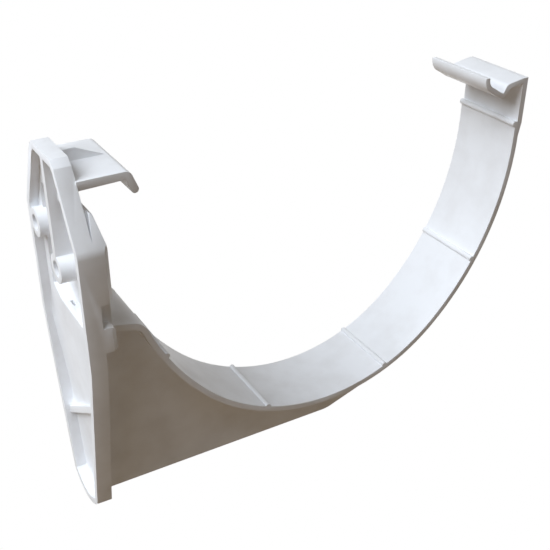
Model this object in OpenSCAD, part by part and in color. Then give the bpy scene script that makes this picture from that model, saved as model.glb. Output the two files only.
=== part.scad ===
// Fascia bracket for a deep-flow rainwater gutter, moulded in one piece.
// Lengths in millimetres. X runs along the gutter, Y away from the fascia board, Z up.
// The origin is on the board's face, at the axis of the central fixing screw.

/* [Gutter seat] */
// Radius of the seat's bottom arc
bottom_r = 49.5; // [44:0.5:56]
// Radius of the flatter arcs at the front and the rear of the seat
side_r = 71.5; // [62:0.5:84]
// Half angle of the bottom arc, where it runs into the side arcs
blend_a = 44.5; // [38:0.5:52]
// Distance from the board to the middle of the seat
seat_y = 67.8; // [64:0.2:76]
// Depth of the seat's lowest point below the central screw
seat_drop = 54; // [50:0.5:58]
// Width of the strap along the gutter
strap_w = 21.5; // [16:0.5:26]
// Thickness of the strap
strap_t = 1.5; // [1.3:0.1:2.2]
// Height of the strap's rear end, at the shelf
strap_end_z = -13.6; // [-15:0.2:-11]

/* [Seat ribs] */
// Number of ribs across the strap
rib_count = 5; // [3:1:5]
// Distance from rib to rib along the strap
rib_pitch = 39; // [34:0.5:39.5]
// Distance of the middle rib in front of the seat's lowest point
rib_shift = 20.6; // [12:0.2:21]
// Radius of a rib's rounded crest
rib_r = 0.75; // [0.65:0.05:1]
// Set-back of the wall above the top rib
wall_step = 0.6; // [0.2:0.1:0.6]

/* [Front clip] */
// Height of the flange's top above the central screw
flange_z = 26.6; // [24:0.2:30]
// Reach of the flange over the gutter's front bead
flange_reach = 6.9; // [6:0.1:9]
// Thickness of the flange and its catch
flange_t = 1.3; // [1.1:0.1:1.7]
// Radius of the bend at the flange's end
flange_bend = 0.9; // [0.9:0.1:1.4]
// Fall of the flange's top towards the gutter
flange_fall = 0.8; // [0:0.1:1.2]
// Overhang of the lip below the flange
lip_fall = 1.2; // [0.6:0.1:1.6]
// Depth of the catch below the flange's top
catch_drop = 4.6; // [4.2:0.1:5.4]
// Radius of the bend at the foot of the catch
catch_bend = 1.1; // [0.9:0.1:1.8]
// Length of the catch from its foot to its rolled edge
catch_l = 5.1; // [4.4:0.1:6.4]
// Slope of the catch
catch_a = 31; // [20:1:40]
// Radius of the catch's rolled edge
catch_r = 3.2; // [2.2:0.1:3.8]
// Sweep of that rolled edge
roll_sweep = 66; // [50:2:90]

/* [Rear clip] */
// Height of the tongue's top above the central screw
tongue_z = 24.4; // [21.5:0.2:25]
// Distance from the board to the tongue's bend
tongue_y = 14.8; // [12:0.2:18]
// Thickness of the tongue
tongue_t = 1.8; // [1.4:0.1:2]
// Width of the tongue along the gutter
tongue_w = 22.4; // [16:0.2:24]
// Angle of the tongue's hooked end below the horizontal
hook_a = 68; // [50:1:80]
// Length of the hooked end
hook_l = 3.2; // [2:0.1:4]
// Thickness of the tongue at the plate
root_t = 2.1; // [2.1:0.1:3]
// Sideways place of the tongue's middle
tongue_x = -0.7; // [-1.5:0.1:1.5]
// Thickness of the gusset on the tongue
fin_t = 1.6; // [1.2:0.1:3]
// Sideways place of the gusset's middle
fin_x = -2; // [-3:0.1:3]
// Height of the gusset at the plate
fin_h = 2.9; // [2:0.1:3.6]
// Length of the gusset's level top from the plate
fin_l = 4; // [1:0.2:6]

/* [Back plate] */
// Half width of the plate
plate_hw = 17.6; // [16.8:0.2:22]
// Depth of the plate's rim
plate_d = 4; // [3.6:0.1:5]
// Height of the plate's top edge above the central screw
plate_top = 28.75; // [28:0.25:32]
// Half width of the plate's top edge
top_hw = 6.35; // [5:0.1:7.5]
// Half width of the plate below its top chamfer
neck_hw = 8.4; // [8:0.1:9.4]
// Height of that chamfer's lower end
neck_z = 27.3; // [26:0.1:27.6]
// Height of the shoulders
shoulder_z = 10.8; // [9.5:0.2:13]
// Radius of the shoulders
shoulder_r = 4; // [1:0.5:6]
// Height where the sides start to taper
taper_z = -19.3; // [-24:0.5:-16]
// Half width of the plate at the start of its rounded foot
foot_hw = 8.6; // [7.5:0.1:10]
// Depth of the foot's corners below the central screw
foot_drop = 65.5; // [62:0.5:68]
// Radius of the foot
foot_r = 11.6; // [10.5:0.1:14]
// Thickness of the rim
rim_t = 1.8; // [1.4:0.1:2.4]
// Depth of the recess behind the plate, beside and above the pocket
recess_d = 2.2; // [1.6:0.1:2.4]
// Depth of the recess just below the raised face
belly_d = 1.2; // [0.8:0.1:1.8]
// Depth of the recess in the plate's foot
foot_d = 2.8; // [2.4:0.1:3]
// Height of the slanting bar in the foot, at the plate's middle
bar_z = -40.9; // [-44:0.1:-36]
// Slope of that bar
bar_a = 33; // [20:1:45]
// Width of that bar
bar_t = 1.8; // [1.2:0.1:2.4]
// Depth of the bar's face below the rim
bar_y = 1.3; // [0.8:0.1:1.6]

/* [Raised face] */
// Distance from the board to the raised face
face_y = 7.2; // [6.4:0.1:9]
// Height of the raised face's upper end
face_top = 18.9; // [16.5:0.2:20]
// Height of the raised face's lower end
face_low = -14.4; // [-16:0.2:-13.8]
// Wall between the raised face and the pocket behind it
face_wall = 2; // [1.6:0.1:2.4]
// Bevel of the raised face's side edges
bevel = 1.1; // [0.6:0.1:1.6]
// Width of the pads at the two sides
pad_w = 3.2; // [2.6:0.1:4]
// Height of the pads' lower end
pad_low = -2; // [-3.5:0.1:0]
// Height of the tabs below the pads
tab_h = 6.4; // [5:0.1:7]
// Corner radius of the pads and tabs
pad_r = 2; // [1:0.1:2.4]
// Length of the groove between rim and pad
groove_l = 6.2; // [3:0.1:6.8]
// Width of that groove at its open end
groove_w = 1.1; // [0.8:0.1:1.3]
// Depth of the pads' top end in front of the rim
pad_top = 1.6; // [1.5:0.1:2.2]
// Fall of the pads' top towards the board
pad_fall = 0.9; // [0.5:0.1:1.2]
// Depth of that groove from the plate's edge
groove_d = 1.2; // [0.6:0.1:1.6]
// Width of the cut across the lower corners of the pocket behind the face
pocket_cut = 4.9; // [3:0.1:6]
// Height of that cut
pocket_rise = 2.2; // [1:0.1:3]
// Width of the slot in the pocket's floor
slot_w = 1.8; // [1.2:0.1:2.4]
// Length of that slot
slot_l = 1.4; // [1:0.1:1.8]
// Depth of that slot
slot_d = 1.1; // [0.8:0.1:1.2]
// Distance from the slot to the pocket's front wall
slot_gap = 0.3; // [0.2:0.1:0.4]
// Sideways place of that slot
slot_x = -5.3; // [-7:0.1:-4]

/* [Fixing] */
// Radius of the screw holes
hole_r = 2; // [1.6:0.1:2.4]
// Radius of the bosses round the screw holes
boss_r = 3.6; // [3.2:0.1:4.2]
// Sideways distance of the second screw from the central one
side_x = 13; // [11.5:0.1:13.4]
// Height of the second screw above the central one
side_z = 6.3; // [5:0.1:8]
// Thickness of the rib behind the plate
spine_t = 2; // [1.4:0.1:2.6]

/* [Shelf and web] */
// Thickness of the shelf between plate and strap
shelf_t = 1.4; // [1.2:0.1:2.4]
// Length of the bend from the shelf into the seat
shelf_bend = 3; // [2:0.2:4]
// Fall of the shelf from the plate to the strap
shelf_fall = 1.8; // [0.4:0.1:2.2]
// Thickness of the web under the strap
web_t = 2.4; // [1.8:0.1:3]
// Distance from the board to the web's front end
web_y = 98; // [92:0.5:99]
// Depth of the web's lower edge below the central screw
web_drop = 66.8; // [64:0.2:68]
// Fall of that edge towards the plate
web_fall = 1.4; // [0:0.1:1.6]
// Distance from the board to the place where that edge starts to rise
web_rise_y = 75; // [70:0.5:80]
// Slope of the rising part
web_a = 20; // [14:1:22]
// Radius of the two corners of that edge
web_r = 9; // [4:0.5:10]

/* [Hidden] */
$fn = 96;
right_angle = 90;
half_turn = 180;
bite = 0.6;
seam = 0.1;
shape_steps = 8;
far = 200;
arc_steps = 60;
white = [0.93, 0.94, 0.95];

// The seat is a three-centred arch: a bottom arc between two flatter ones that share its tangents
bottom_c = [seat_y, bottom_r - seat_drop];
blend_v = [sin(blend_a), -cos(blend_a)];
front_c = bottom_c - (side_r - bottom_r) * blend_v;
spring_z = front_c[1];
wall_y = front_c[0] + side_r;
wall_in = wall_y + wall_step;
wall_out = wall_in + strap_t;
strap_end_a = asin((spring_z - strap_end_z) / side_r);

// Lengths along the seat from its lowest point, and the point at length s, off below the surface
function radians(a) = a * PI / half_turn;
function degrees(v) = v * half_turn / PI;
bottom_l = radians(bottom_r * blend_a);
spring_l = bottom_l + radians(side_r * (right_angle - blend_a));
rear_l = spring_l - radians(side_r * strap_end_a);
function on_arc(c, r, a) = c + r * [cos(a), sin(a)];
function front_at(s, off) =
    s > spring_l ? [wall_y + off, spring_z + s - spring_l] :
    s > bottom_l ? on_arc(front_c, side_r + off, degrees((s - bottom_l) / side_r) + blend_a - right_angle) :
    on_arc(bottom_c, bottom_r + off, degrees(s / bottom_r) - right_angle);
function seat_at(s, off = 0) = s >= 0
    ? front_at(s, off)
    : let (p = front_at(-s, off)) [2 * seat_y - p[0], p[1]];
function seat_line(s0, s1, off, n) = [for (i = [0:n]) seat_at(s0 + (s1 - s0) * i / n, off)];

// Outlines: unit vectors, an inset of a convex outline, and rounded corners
function unit(v) = v / norm(v);
function out(a, b) = let (u = unit(b - a)) [u[1], -u[0]];
function cross2(u, v) = u[0] * v[1] - u[1] * v[0];
function meet(a, u, b, v) = a + u * cross2(b - a, v) / cross2(u, v);
function around(pts, i) = pts[(i + len(pts)) % len(pts)];
function corner_in(a, b, c, d) = meet(b - d * out(a, b), b - a, b - d * out(b, c), c - b);
function inset(pts, d) = [
    for (i = [0:len(pts) - 1]) corner_in(around(pts, i - 1), pts[i], around(pts, i + 1), d)
];
function arc_points(m, r, a0, a1, n) = [
    for (i = [0:n]) let (a = a0 + (a1 - a0) * i / n) m + r * [cos(a), sin(a)]
];
function heading(v) = atan2(v[1], v[0]);
function wrap(a) = a > half_turn ? a - 2 * half_turn : a < -half_turn ? a + 2 * half_turn : a;
function round_at(a, b, c, r, n = 5) = r <= 0 ? [b] :
    let (
        u = unit(a - b),
        v = unit(c - b),
        half = acos(u * v) / 2,
        m = b + unit(u + v) * r / sin(half),
        from = heading(b + u * r / tan(half) - m),
        sweep = wrap(heading(b + v * r / tan(half) - m) - from)
    ) arc_points(m, r, from, from + sweep, n);
function rounded(pts, radii) = [
    for (i = [0:len(pts) - 1]) each round_at(around(pts, i - 1), pts[i], around(pts, i + 1), radii[i])
];

// Outline of a band of thickness t along a line of points
function along(line, i) = unit(line[min(i + 1, len(line) - 1)] - line[max(i - 1, 0)]);
function beside(line, i, d) = let (u = along(line, i)) line[i] + d * [-u[1], u[0]];
function band(line, t) = let (n = len(line) - 1) concat(
    [for (i = [0:n]) beside(line, i, t / 2)],
    [for (i = [n:-1:0]) beside(line, i, -t / 2)]
);

// Sheets drawn across the gutter (Y, Z) and along the board (X, Z)
module across(w, x = 0) {
    translate([x, 0, 0]) rotate([90, 0, 90]) linear_extrude(w, center = true) children();
}
module outward(y0, y1) {
    translate([0, y1, 0]) rotate([90, 0, 0]) linear_extrude(y1 - y0) children();
}

// Shelf and strap in one band, from the raised face round the seat to the front clip.
// It bends into the seat at the shelf's end and is set back above the top rib
flange_mid = flange_z - flange_t / 2;
shelf_z = strap_end_z + shelf_fall;
shelf_end = seat_at(-rear_l);
function rib_s(i) = rib_shift + rib_pitch * (i - 2);
function round_to(a, b, c) = round_at(a, b, c, norm(c - b) * tan(acos(unit(a - b) * unit(c - b)) / 2));
module seat_strap() {
    step_z = seat_at(rib_s(rib_count - 1))[1];
    shelf_root = [face_y - bite, shelf_z];
    under_root = [face_y - bite, shelf_z - shelf_t];
    under_end = seat_at(shelf_t - rear_l, strap_t);
    color(white) across(strap_w) polygon(concat(
        [shelf_root],
        round_to(shelf_root, shelf_end, seat_at(shelf_bend - rear_l)),
        seat_line(shelf_bend - rear_l + bite, spring_l, 0, arc_steps),
        [[wall_y, step_z], [wall_in, step_z], [wall_in, flange_mid], [wall_out, flange_mid], [wall_out, step_z]],
        seat_line(spring_l, 2 * shelf_bend - rear_l, strap_t, arc_steps),
        round_at(seat_at(2 * shelf_bend - rear_l, strap_t), under_end, under_root, shelf_bend),
        [under_root]
    ));
}

// Low ribs that grip the gutter's outside
module seat_ribs() {
    color(white)
    for (i = [0:rib_count - 1]) {
        p = seat_at(rib_s(i));
        translate([0, p[0], p[1]]) rotate([0, right_angle, 0])
            cylinder(h = strap_w, r = rib_r, center = true);
    }
}

// Flange over the gutter's front edge, bent down and back up to a rolled edge as one band
module front_clip() {
    tip = [wall_out - flange_reach + flange_t / 2, flange_mid - flange_fall];
    foot = [tip[0] - lip_fall, flange_z - catch_drop + flange_t / 2];
    slope_end = foot + catch_l * [-cos(catch_a), sin(catch_a)];
    roll_c = slope_end + catch_r * [sin(catch_a), cos(catch_a)];
    roll_a = 3 * right_angle - catch_a;
    color(white) across(strap_w) polygon(band(
        concat(
            [[wall_out, flange_mid], [wall_in, flange_mid]],
            round_at([wall_in, flange_mid], tip, foot, flange_bend),
            round_at(tip, foot, slope_end, catch_bend),
            arc_points(roll_c, catch_r, roll_a, roll_a - roll_sweep, shape_steps)
        ),
        flange_t
    ));
}

// Tongue over the gutter's rear edge, hooked at its end, with a gusset on its top
module rear_clip() {
    heel = [tongue_y, tongue_z - tongue_t];
    tip_c = heel + hook_l * [cos(hook_a), -sin(hook_a)] + tongue_t / 2 * [sin(hook_a), cos(hook_a)];
    inner_y = plate_d - seam;
    color(white) {
        across(tongue_w, tongue_x) polygon(concat(
            [[inner_y, tongue_z], [inner_y, tongue_z - root_t], heel],
            arc_points(tip_c, tongue_t / 2, -right_angle - hook_a, right_angle - hook_a, shape_steps),
            arc_points(heel, tongue_t, right_angle - hook_a, right_angle, shape_steps)
        ));
        across(fin_t, fin_x) polygon([
            [inner_y, tongue_z - tongue_t / 2],
            [tongue_y, tongue_z - tongue_t / 2],
            [tongue_y, tongue_z],
            [plate_d + fin_l, tongue_z + fin_h],
            [inner_y, tongue_z + fin_h]
        ]);
    }
}

// Outline of the plate, seen along Y, and the same outline inset by d.
// Its two sides are drawn to where they would cross, well below the foot
side_v = unit([foot_hw - plate_hw, -foot_drop - taper_z]);
plate_corners = [
    meet([-plate_hw, taper_z], [-side_v[0], side_v[1]], [plate_hw, taper_z], side_v),
    [plate_hw, taper_z],
    [plate_hw, shoulder_z],
    [neck_hw, neck_z],
    [top_hw, plate_top],
    [-top_hw, plate_top],
    [-neck_hw, neck_z],
    [-plate_hw, shoulder_z],
    [-plate_hw, taper_z]
];
module plate_outline(d = 0) {
    r = max(shoulder_r - d, 0.5);
    foot_z = -foot_drop + sqrt(foot_r * foot_r - foot_hw * foot_hw);
    intersection() {
        polygon(rounded(inset(plate_corners, d), [0, 0, r, 0, 0, 0, 0, r, 0]));
        union() {
            translate([0, foot_z]) circle(foot_r - d);
            translate([-far / 2, foot_z]) square(far);
        }
    }
}

// Side views (Y, Z) of the raised face and, at the plate's edges, of its pads and tabs
ramp_end = [plate_d + pad_top, face_top - pad_fall];
face_side = [
    [plate_d - bite, face_low],
    [face_y, face_low],
    [face_y, shoulder_z],
    ramp_end,
    [plate_d, face_top],
    [plate_d - bite, face_top]
];
pad_side = concat([[plate_d - bite, pad_low], [face_y, pad_low]], [for (i = [2:5]) face_side[i]]);
tab_side = [
    [plate_d - bite, face_low],
    [face_y, face_low],
    [face_y, face_low + tab_h],
    [plate_d - bite, face_low + tab_h]
];
core_hw = plate_hw - pad_w;

// Raised face between the shelf and the rear clip, with bevelled sides
module raised_face() {
    y0 = plate_d - bite;
    y1 = face_y + bite;
    bevel_sum = plate_hw + face_y - bevel;
    color(white) difference() {
        intersection() {
            union() {
                across(2 * core_hw) polygon(face_side);
                across(2 * plate_hw + bite) {
                    polygon(rounded(pad_side, [0, pad_r, 0, 0, 0, 0]));
                    polygon(rounded(tab_side, [0, 0, pad_r, 0]));
                }
            }
            outward(y0 - bite, y1) plate_outline();
            translate([0, 0, face_low - bite]) linear_extrude(face_top - face_low + 2 * bite)
                polygon([
                    [y0 - bevel_sum, y0],
                    [bevel_sum - y0, y0],
                    [bevel_sum - y1, y1],
                    [y1 - bevel_sum, y1]
                ]);
        }
        edge_groove();
    }
}

// Tapering groove between the rim and each pad, cut in from the plate's edge
module edge_groove() {
    top = face_top + bite;
    difference() {
        across(3 * plate_hw) polygon([
            [plate_d, face_top - groove_l],
            [plate_d + groove_w, top],
            [plate_d, top]
        ]);
        outward(plate_d - bite, face_y) plate_outline(groove_d);
    }
}

// Hollows behind the plate: the shallow recess all over, and the deeper pocket behind the raised face
pocket_low = face_low + face_wall;
pocket_top = ramp_end[1] - face_wall / 2;
pocket_y = face_y - face_wall;
pocket_hw = core_hw - face_wall;
module rear_hollows() {
    intersection() {
        outward(-bite, plate_d) plate_outline(rim_t);
        across(2 * plate_hw) polygon([
            [-2 * bite, -far],
            [foot_d, -far],
            [foot_d, bar_z],
            [belly_d, face_low],
            [recess_d, face_low],
            [recess_d, far],
            [-2 * bite, far]
        ]);
    }
    translate([slot_x - slot_w / 2, pocket_y - slot_l - slot_gap, pocket_low - slot_d])
        cube([slot_w, slot_l, slot_d + bite]);
    intersection() {
        across(2 * plate_hw) polygon([
            [-bite, pocket_low],
            [pocket_y, pocket_low],
            [pocket_y, shoulder_z - face_wall / 2],
            [ramp_end[0] - face_wall, pocket_top],
            [-bite, pocket_top]
        ]);
        outward(-2 * bite, face_y) intersection() {
            plate_outline(rim_t + groove_d);
            polygon([
                [pocket_cut - pocket_hw, pocket_low - bite],
                [pocket_hw - pocket_cut, pocket_low - bite],
                [pocket_hw - pocket_cut, pocket_low],
                [pocket_hw, pocket_low + pocket_rise],
                [pocket_hw, pocket_top + bite],
                [-pocket_hw, pocket_top + bite],
                [-pocket_hw, pocket_low + pocket_rise],
                [pocket_cut - pocket_hw, pocket_low]
            ]);
        }
    }
}

// Slanting bar across the foot of the recess
module foot_bar() {
    rise = plate_hw * tan(bar_a);
    color(white) intersection() {
        outward(bar_y, foot_d + bite) plate_outline(rim_t / 2);
        outward(-bite, plate_d) polygon(band([[-plate_hw, bar_z - rise], [plate_hw, bar_z + rise]], bar_t));
    }
}

// Plate with its raised face, open behind
module back_plate() {
    difference() {
        union() {
            color(white) outward(0, plate_d) plate_outline();
            raised_face();
        }
        rear_hollows();
    }
    foot_bar();
}

// Upright rib behind the plate and the bosses of the two fixing screws
screws = [[0, 0], [-side_x, side_z]];
module rear_ribs() {
    color(white) {
        across(spine_t) polygon([
            [0, 0],
            [pocket_y + bite, 0],
            [pocket_y + bite, shoulder_z - face_wall / 2],
            [recess_d + bite, pocket_top + bite],
            [recess_d + bite, plate_top - rim_t / 2],
            [0, plate_top - rim_t / 2]
        ]);
        for (p = screws)
            translate([p[0], pocket_y + bite, p[1]]) rotate([90, 0, 0])
                cylinder(h = pocket_y + bite, r = boss_r);
    }
}
module screw_holes() {
    for (p = screws)
        translate([p[0], face_y + bite, p[1]]) rotate([90, 0, 0])
            cylinder(h = face_y + 2 * bite, r = hole_r);
}

// Web in the middle, from the plate's foot along the underside of the strap
module web() {
    foot = [plate_d - bite, -web_drop - web_fall];
    rise_start = [web_rise_y, -web_drop];
    nose = rise_start + (web_y - web_rise_y) * [1, tan(web_a)];
    front_s = radians(bottom_r * asin((web_y - seat_y) / (bottom_r + strap_t / 2)));
    front_top = seat_at(front_s, strap_t / 2);
    color(white) across(web_t) polygon(concat(
        [[plate_d - bite, shelf_z - shelf_t / 2], foot],
        round_at(foot, rise_start, nose, web_r),
        round_at(rise_start, nose, front_top, web_r, shape_steps),
        seat_line(front_s, shelf_t - rear_l, strap_t / 2, arc_steps / 2)
    ));
}

module gutter_bracket() {
    difference() {
        union() {
            back_plate();
            rear_ribs();
            rear_clip();
            web();
            seat_strap();
            seat_ribs();
            front_clip();
        }
        screw_holes();
    }
}

gutter_bracket();
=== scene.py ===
"""White moulded fascia bracket for a deep-flow gutter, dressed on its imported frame."""

import logging
import math
from dataclasses import dataclass, field
from enum import Enum
from typing import Any, Sequence

import bmesh
import bpy
from mathutils import Matrix, Vector


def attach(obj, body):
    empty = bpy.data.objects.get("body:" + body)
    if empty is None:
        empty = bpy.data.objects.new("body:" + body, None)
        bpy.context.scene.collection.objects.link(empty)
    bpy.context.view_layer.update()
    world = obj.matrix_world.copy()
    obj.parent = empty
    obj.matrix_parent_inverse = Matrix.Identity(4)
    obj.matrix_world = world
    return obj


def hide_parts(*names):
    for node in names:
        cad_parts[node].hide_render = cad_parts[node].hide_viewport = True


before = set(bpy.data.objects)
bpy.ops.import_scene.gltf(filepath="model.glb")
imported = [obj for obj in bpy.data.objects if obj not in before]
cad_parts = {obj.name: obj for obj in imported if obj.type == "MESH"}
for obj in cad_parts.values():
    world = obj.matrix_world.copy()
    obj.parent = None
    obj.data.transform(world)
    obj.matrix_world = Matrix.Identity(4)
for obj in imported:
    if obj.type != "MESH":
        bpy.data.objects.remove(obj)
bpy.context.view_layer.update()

LOG = logging.getLogger("gutter_bracket")
MM = 0.001
WHITE = "#FFFFFF"

Linear = tuple[float, float, float, float]


def linear(hex_colour: str) -> Linear:
    """Turn an sRGB hex colour into the linear colour that shaders use.

    Args:
        hex_colour: Six hex digits, with or without a leading hash.

    Returns:
        Linear red, green, blue and an alpha of one.
    """
    digits = hex_colour.lstrip("#")
    channels = [int(digits[i:i + 2], 16) / 255 for i in (0, 2, 4)]
    red, green, blue = (c / 12.92 if c <= 0.04045 else ((c + 0.055) / 1.055) ** 2.4 for c in channels)
    return (red, green, blue, 1.0)


def add_node(tree: bpy.types.NodeTree, kind: str, values: dict[str, Any] | None = None,
             links: dict[str, bpy.types.NodeSocket] | None = None, **settings: Any) -> bpy.types.Node:
    """Add one shader node with its settings, socket values and incoming links.

    Args:
        tree: Node tree that gets the node.
        kind: Blender's type name of the node.
        values: Values for unlinked inputs, by input name.
        links: Output sockets to link, by the name of the input they feed.
        **settings: Attributes of the node itself.

    Returns:
        The new node.
    """
    node = tree.nodes.new(kind)
    for name, value in settings.items():
        setattr(node, name, value)
    for name, value in (values or {}).items():
        node.inputs[name].default_value = value
    for name, socket in (links or {}).items():
        tree.links.new(socket, node.inputs[name])
    return node


def seen_directly(tree: bpy.types.NodeTree) -> bpy.types.NodeSocket:
    """Tell the rays that show a backdrop from those that only light by it.

    Args:
        tree: Node tree of the backdrop's shader.

    Returns:
        A socket that is one for camera, glossy and transmission rays, and zero for the others.
    """
    ray = add_node(tree, "ShaderNodeLightPath").outputs
    mirrored = add_node(tree, "ShaderNodeMath", None, None, operation="MAXIMUM")
    tree.links.new(ray["Is Glossy Ray"], mirrored.inputs[0])
    tree.links.new(ray["Is Transmission Ray"], mirrored.inputs[1])
    seen = add_node(tree, "ShaderNodeMath", None, None, operation="MAXIMUM")
    tree.links.new(ray["Is Camera Ray"], seen.inputs[0])
    tree.links.new(mirrored.outputs["Value"], seen.inputs[1])
    return seen.outputs["Value"]


def only(piece: bpy.types.Object) -> None:
    """Leave nothing selected but this piece, and make it active.

    Args:
        piece: The object to select.
    """
    bpy.ops.object.select_all(action="DESELECT")
    piece.select_set(True)
    bpy.context.view_layer.objects.active = piece


@dataclass(frozen=True)
class Nudge:
    """A small move of the corners inside a box, all in millimetres.

    Attributes:
        low: Lowest corner of the box.
        high: Highest corner of the box.
        move: How far the corners go along X, Y and Z.
    """

    low: tuple[float, float, float]
    high: tuple[float, float, float]
    move: tuple[float, float, float]

    def holds(self, place: Vector) -> bool:
        """Tell whether a corner lies inside the box.

        Args:
            place: Place of the corner, in metres.

        Returns:
            Whether it does.
        """
        return all(a <= p / MM <= b for a, p, b in zip(self.low, place, self.high))

    def apply(self, piece: bpy.types.Object) -> int:
        """Move the corners of a piece that is in edit mode.

        Args:
            piece: The piece to change.

        Returns:
            Number of corners moved.
        """
        bpy.ops.mesh.select_all(action="DESELECT")
        bpy.ops.mesh.select_mode(type="VERT")
        mesh = bmesh.from_edit_mesh(piece.data)
        corners = [corner for corner in mesh.verts if self.holds(corner.co)]
        for corner in corners:
            corner.select_set(True)
        mesh.select_flush(True)
        bmesh.update_edit_mesh(piece.data)
        bpy.ops.transform.translate(value=Vector(self.move) * MM)
        return len(corners)


@dataclass(frozen=True)
class MouldedPvcu:
    """White rigid PVC-U, injection moulded in a polished steel mould.

    The pigment makes it opaque and very slightly cool, the mould gives it a satin gloss, and a
    little orange peel and faint handling scuffs break up the highlights.

    Attributes:
        name: Name of the material.
        colour: Colour of the clean moulded skin.
        scuffed: Colour where the skin is dulled by handling.
        roughness: Roughness of the clean skin.
        dull: Roughness of the scuffed skin.
        peel_mm: Size of the orange peel's ripples.
        scuff_mm: Size of the scuffed patches.
        flow_mm: Spacing of the faint flow marks.
        wear_range: Noise levels between which the skin goes from clean to scuffed.
        peel_share: Height of the orange peel beside that of the flow marks.
        relief_mm: Height of both together.
        relief_strength: How strongly that relief turns the light.
        ior: Index of refraction of rigid PVC.
    """

    name: str = "white_pvcu_moulded"
    colour: str = "#F1F3F6"
    scuffed: str = "#E9EAEC"
    roughness: float = 0.34
    dull: float = 0.48
    peel_mm: float = 1.6
    scuff_mm: float = 9.0
    flow_mm: float = 4.0
    wear_range: tuple[float, float] = (0.42, 0.72)
    peel_share: float = 0.35
    relief_mm: float = 0.08
    relief_strength: float = 0.10
    ior: float = 1.54

    def make(self) -> bpy.types.Material:
        """Build the node material.

        Returns:
            The new material.
        """
        material = bpy.data.materials.new(self.name)
        material.use_nodes = True
        tree = material.node_tree
        tree.nodes.clear()
        place = add_node(tree, "ShaderNodeTexCoord").outputs["Object"]
        patches = add_node(tree, "ShaderNodeTexNoise",
                           {"Scale": 1 / (self.scuff_mm * MM), "Detail": 4.0, "Roughness": 0.55},
                           {"Vector": place})
        wear = add_node(tree, "ShaderNodeMapRange",
                        {"From Min": self.wear_range[0], "From Max": self.wear_range[1]},
                        {"Value": patches.outputs["Fac"]})
        tint = add_node(tree, "ShaderNodeMix", {"A": linear(self.colour), "B": linear(self.scuffed)},
                        None, data_type="RGBA")
        tree.links.new(wear.outputs["Result"], tint.inputs["Factor"])
        gloss = add_node(tree, "ShaderNodeMapRange", {"To Min": self.roughness, "To Max": self.dull},
                         {"Value": wear.outputs["Result"]})
        peel = add_node(tree, "ShaderNodeTexNoise",
                        {"Scale": 1 / (self.peel_mm * MM), "Detail": 2.0, "Roughness": 0.5},
                        {"Vector": place})
        flow = add_node(tree, "ShaderNodeTexNoise",
                        {"Scale": 1 / (self.flow_mm * MM), "Detail": 1.0, "Distortion": 0.6},
                        {"Vector": place})
        relief = add_node(tree, "ShaderNodeMath", None,
                          {"Value": peel.outputs["Fac"]}, operation="MULTIPLY_ADD")
        relief.inputs[1].default_value = self.peel_share
        tree.links.new(flow.outputs["Fac"], relief.inputs[2])
        bump = add_node(tree, "ShaderNodeBump",
                        {"Strength": self.relief_strength, "Distance": self.relief_mm * MM},
                        {"Height": relief.outputs["Value"]})
        skin = add_node(tree, "ShaderNodeBsdfPrincipled", {"IOR": self.ior, "Metallic": 0.0},
                        {"Base Color": tint.outputs["Result"],
                         "Roughness": gloss.outputs["Result"],
                         "Normal": bump.outputs["Normal"]})
        add_node(tree, "ShaderNodeOutputMaterial", None, {"Surface": skin.outputs["BSDF"]})
        return material


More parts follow.
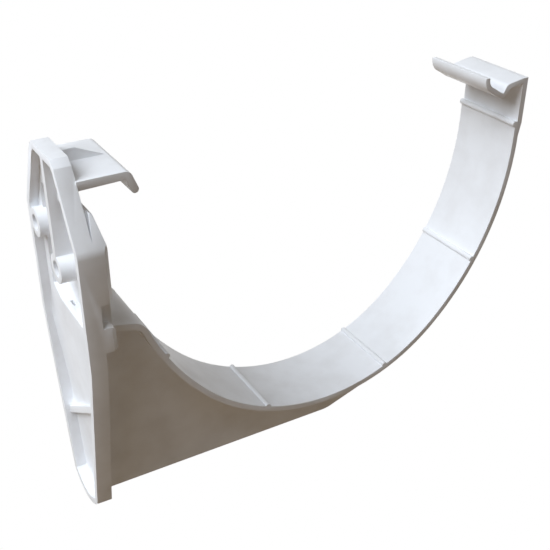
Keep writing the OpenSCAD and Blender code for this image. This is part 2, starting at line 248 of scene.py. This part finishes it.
@dataclass
class BracketMoulding:
    """The one moulded piece: strap, clips, shelf, web and back plate.

    Attributes:
        node: Name of the solid that the piece stands for.
        weld_mm: Distance within which the solid's loose corners are merged.
        flat_deg: Angle below which two faces are joined into one.
        edge_mm: Radius that the mould leaves on its ordinary edges.
        edge_steps: Facets across one rounded edge.
        crease_deg: Angle above which an edge is rounded.
        smooth_deg: Angle below which the shading runs on across an edge.
        nudges: Moves that level the head of the foot's recess with the panels above it and draw
            the slot in the pocket's floor out to its full length.
        finish: The skin of the moulding.
    """

    node: str = "gutter_bracket"
    weld_mm: float = 0.002
    flat_deg: float = 0.5
    edge_mm: float = 0.35
    edge_steps: int = 3
    crease_deg: float = 24.0
    smooth_deg: float = 32.0
    nudges: tuple[Nudge, ...] = (
        Nudge((-16.5, 1.1, -14.5), (16.5, 1.3, -14.3), (0.0, 1.0, 0.0)),
        Nudge((-4.5, 3.4, -13.6), (-4.3, 5.0, -12.3), (1.7, 0.0, 0.0)),
        Nudge((-6.3, 3.4, -13.6), (-6.1, 5.0, -12.3), (0.7, 0.0, 0.0)),
        Nudge((-5.6, 3.4, -13.6), (-2.6, 3.6, -12.3), (0.0, 0.3, 0.0)),
        Nudge((-5.6, 4.8, -13.6), (-2.6, 5.0, -12.3), (0.0, -0.4, 0.0)),
    )
    finish: MouldedPvcu = field(default_factory=MouldedPvcu)

    def copy_solid(self) -> bpy.types.Object:
        """Copy the solid's mesh into a piece of its own.

        Returns:
            The new object, at the origin, with no material.
        """
        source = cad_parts[self.node]
        only(source)
        bpy.ops.object.duplicate()
        piece = bpy.context.view_layer.objects.active
        piece.name = "bracket_moulding"
        piece.data.name = "bracket_moulding"
        piece.data.materials.clear()
        return piece

    def merge(self, piece: bpy.types.Object) -> None:
        """Weld the loose triangles and join those that lie in one flat face.

        Args:
            piece: The piece to clean.
        """
        only(piece)
        bpy.ops.object.mode_set(mode="EDIT")
        bpy.ops.mesh.select_all(action="SELECT")
        bpy.ops.mesh.remove_doubles(threshold=self.weld_mm * MM)
        bpy.ops.mesh.dissolve_limited(angle_limit=math.radians(self.flat_deg))
        bpy.ops.object.mode_set(mode="OBJECT")

    def finish_hollows(self, piece: bpy.types.Object) -> None:
        """Bring the hollows behind the plate to their finished form.

        Args:
            piece: The piece to change.
        """
        only(piece)
        bpy.ops.object.mode_set(mode="EDIT")
        moved = [nudge.apply(piece) for nudge in self.nudges]
        bpy.ops.mesh.select_all(action="SELECT")
        bpy.ops.mesh.remove_doubles(threshold=self.weld_mm * MM)
        bpy.ops.object.mode_set(mode="OBJECT")
        LOG.info("hollows: corners moved %s", moved)

    def round_edges(self, piece: bpy.types.Object) -> None:
        """Round every sharp edge by the mould's small radius and smooth the rest.

        Args:
            piece: The piece to round.
        """
        only(piece)
        bevel = piece.modifiers.new("mould_radius", "BEVEL")
        bevel.width = self.edge_mm * MM
        bevel.segments = self.edge_steps
        bevel.limit_method = "ANGLE"
        bevel.angle_limit = math.radians(self.crease_deg)
        bevel.use_clamp_overlap = True
        bevel.harden_normals = False
        bpy.ops.object.modifier_apply(modifier=bevel.name)
        bpy.ops.object.shade_smooth_by_angle(angle=math.radians(self.smooth_deg))

    def build(self) -> bpy.types.Object:
        """Make the piece, dress it and put it in the solid's place.

        Returns:
            The finished piece.
        """
        piece = self.copy_solid()
        self.merge(piece)
        self.finish_hollows(piece)
        self.round_edges(piece)
        piece.data.materials.append(self.finish.make())
        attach(piece, "root")
        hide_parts(self.node)
        LOG.info("%s: %d faces", piece.name, len(piece.data.polygons))
        return piece


class Lamp(Enum):
    """The studio's lamps, each with its place, size, power and colour."""

    KEY = ((-0.02, -0.69, 0.73), 0.80, 11.0, "#F0F7FF")
    TOP = ((0.34, -0.36, 0.88), 0.45, 2.7, "#EEF5FF")

    @property
    def place(self) -> Vector:
        """Tell where the lamp hangs.

        Returns:
            The lamp's place, in metres.
        """
        return Vector(self.value[0])


@dataclass
class Studio:
    """Plain pale room: a floor, a white backdrop, soft lamps and the camera.

    Attributes:
        floor_z: Height of the floor.
        floor_size: Width of the floor.
        eye: Place of the camera.
        target: Point that the camera's axis runs through.
        roll_deg: Turn of the camera about its axis.
        sensor_mm: Width of the camera's sensor.
        focal_mm: Focal length of the camera.
        shift: Shift of the frame to the side and upwards.
        fill: Strength of the even light from all round.
        fill_colour: Colour of that light.
        floor_glow: Colour of the floor in the light that it throws back.
        aim: Point that the lamps are turned to.
    """

    floor_z: float = -0.45
    floor_size: float = 8.0
    eye: tuple[float, float, float] = (0.1861, -0.0496, 0.1022)
    target: tuple[float, float, float] = (0.0, 0.0439, -0.0334)
    roll_deg: float = -1.45
    sensor_mm: float = 36.0
    focal_mm: float = 61.1
    shift: tuple[float, float] = (0.0831, 0.1178)
    fill: float = 0.12
    fill_colour: str = "#FFEBD0"
    floor_glow: str = "#A58250"
    aim: tuple[float, float, float] = (0.0, 0.05, -0.02)

    def floor(self) -> bpy.types.Object:
        """Lay the floor well below the bracket: white where it is seen, brown in the light it throws back.

        Returns:
            The floor.
        """
        bpy.ops.object.select_all(action="DESELECT")
        bpy.ops.mesh.primitive_plane_add(size=self.floor_size, location=(0, 0, self.floor_z))
        floor = bpy.context.view_layer.objects.active
        floor.name = "floor"
        bpy.ops.object.transform_apply(location=True, rotation=False, scale=False)
        material = bpy.data.materials.new("pale_floor")
        material.use_nodes = True
        tree = material.node_tree
        tree.nodes.clear()
        matt = add_node(tree, "ShaderNodeBsdfDiffuse", {"Color": linear(self.floor_glow)})
        white = add_node(tree, "ShaderNodeEmission", {"Color": linear(WHITE), "Strength": 1.0})
        both = add_node(tree, "ShaderNodeMixShader", None, {"Fac": seen_directly(tree)})
        tree.links.new(matt.outputs["BSDF"], both.inputs[1])
        tree.links.new(white.outputs["Emission"], both.inputs[2])
        add_node(tree, "ShaderNodeOutputMaterial", None, {"Surface": both.outputs["Shader"]})
        floor.data.materials.append(material)
        return floor

    def world(self) -> None:
        """Light the room evenly, and show it white wherever it is seen or mirrored."""
        world = bpy.data.worlds.new("pale_room")
        bpy.context.scene.world = world
        world.use_nodes = True
        tree = world.node_tree
        tree.nodes.clear()
        even = add_node(tree, "ShaderNodeBackground",
                        {"Color": linear(self.fill_colour), "Strength": self.fill})
        white = add_node(tree, "ShaderNodeBackground", {"Color": linear(WHITE), "Strength": 1.0})
        both = add_node(tree, "ShaderNodeMixShader", None, {"Fac": seen_directly(tree)})
        tree.links.new(even.outputs["Background"], both.inputs[1])
        tree.links.new(white.outputs["Background"], both.inputs[2])
        add_node(tree, "ShaderNodeOutputWorld", None, {"Surface": both.outputs["Shader"]})

    def lamps(self) -> None:
        """Hang the soft lamps, each turned to the bracket."""
        for lamp in Lamp:
            _, size, power, colour = lamp.value
            light = bpy.data.lights.new(lamp.name.lower() + "_lamp", "AREA")
            light.shape = "DISK"
            light.size = size
            light.energy = power
            light.color = linear(colour)[:3]
            holder = bpy.data.objects.new(light.name, light)
            holder.location = lamp.place
            holder.rotation_euler = (Vector(self.aim) - lamp.place).to_track_quat("-Z", "Y").to_euler()
            bpy.context.scene.collection.objects.link(holder)

    def camera(self) -> bpy.types.Object:
        """Set up the camera.

        Returns:
            The camera.
        """
        lens = bpy.data.cameras.new("camera")
        lens.sensor_width = self.sensor_mm
        lens.lens = self.focal_mm
        lens.shift_x, lens.shift_y = self.shift
        lens.clip_start = 0.01
        eye = Vector(self.eye)
        look = (Vector(self.target) - eye).to_track_quat("-Z", "Y").to_matrix()
        holder = bpy.data.objects.new("camera", lens)
        turn = look @ Matrix.Rotation(math.radians(self.roll_deg), 3, "Z")
        holder.matrix_world = Matrix.Translation(eye) @ turn.to_4x4()
        bpy.context.scene.collection.objects.link(holder)
        bpy.context.scene.camera = holder
        return holder

    def build(self) -> None:
        """Make the whole room."""
        self.floor()
        self.world()
        self.lamps()
        self.camera()
        bpy.context.scene.view_settings.view_transform = "Standard"


def main() -> None:
    """Build the bracket and the room."""
    logging.basicConfig(level=logging.INFO, format="%(name)s: %(message)s")
    BracketMoulding().build()
    Studio().build()


if __name__ == "__main__":
    main()
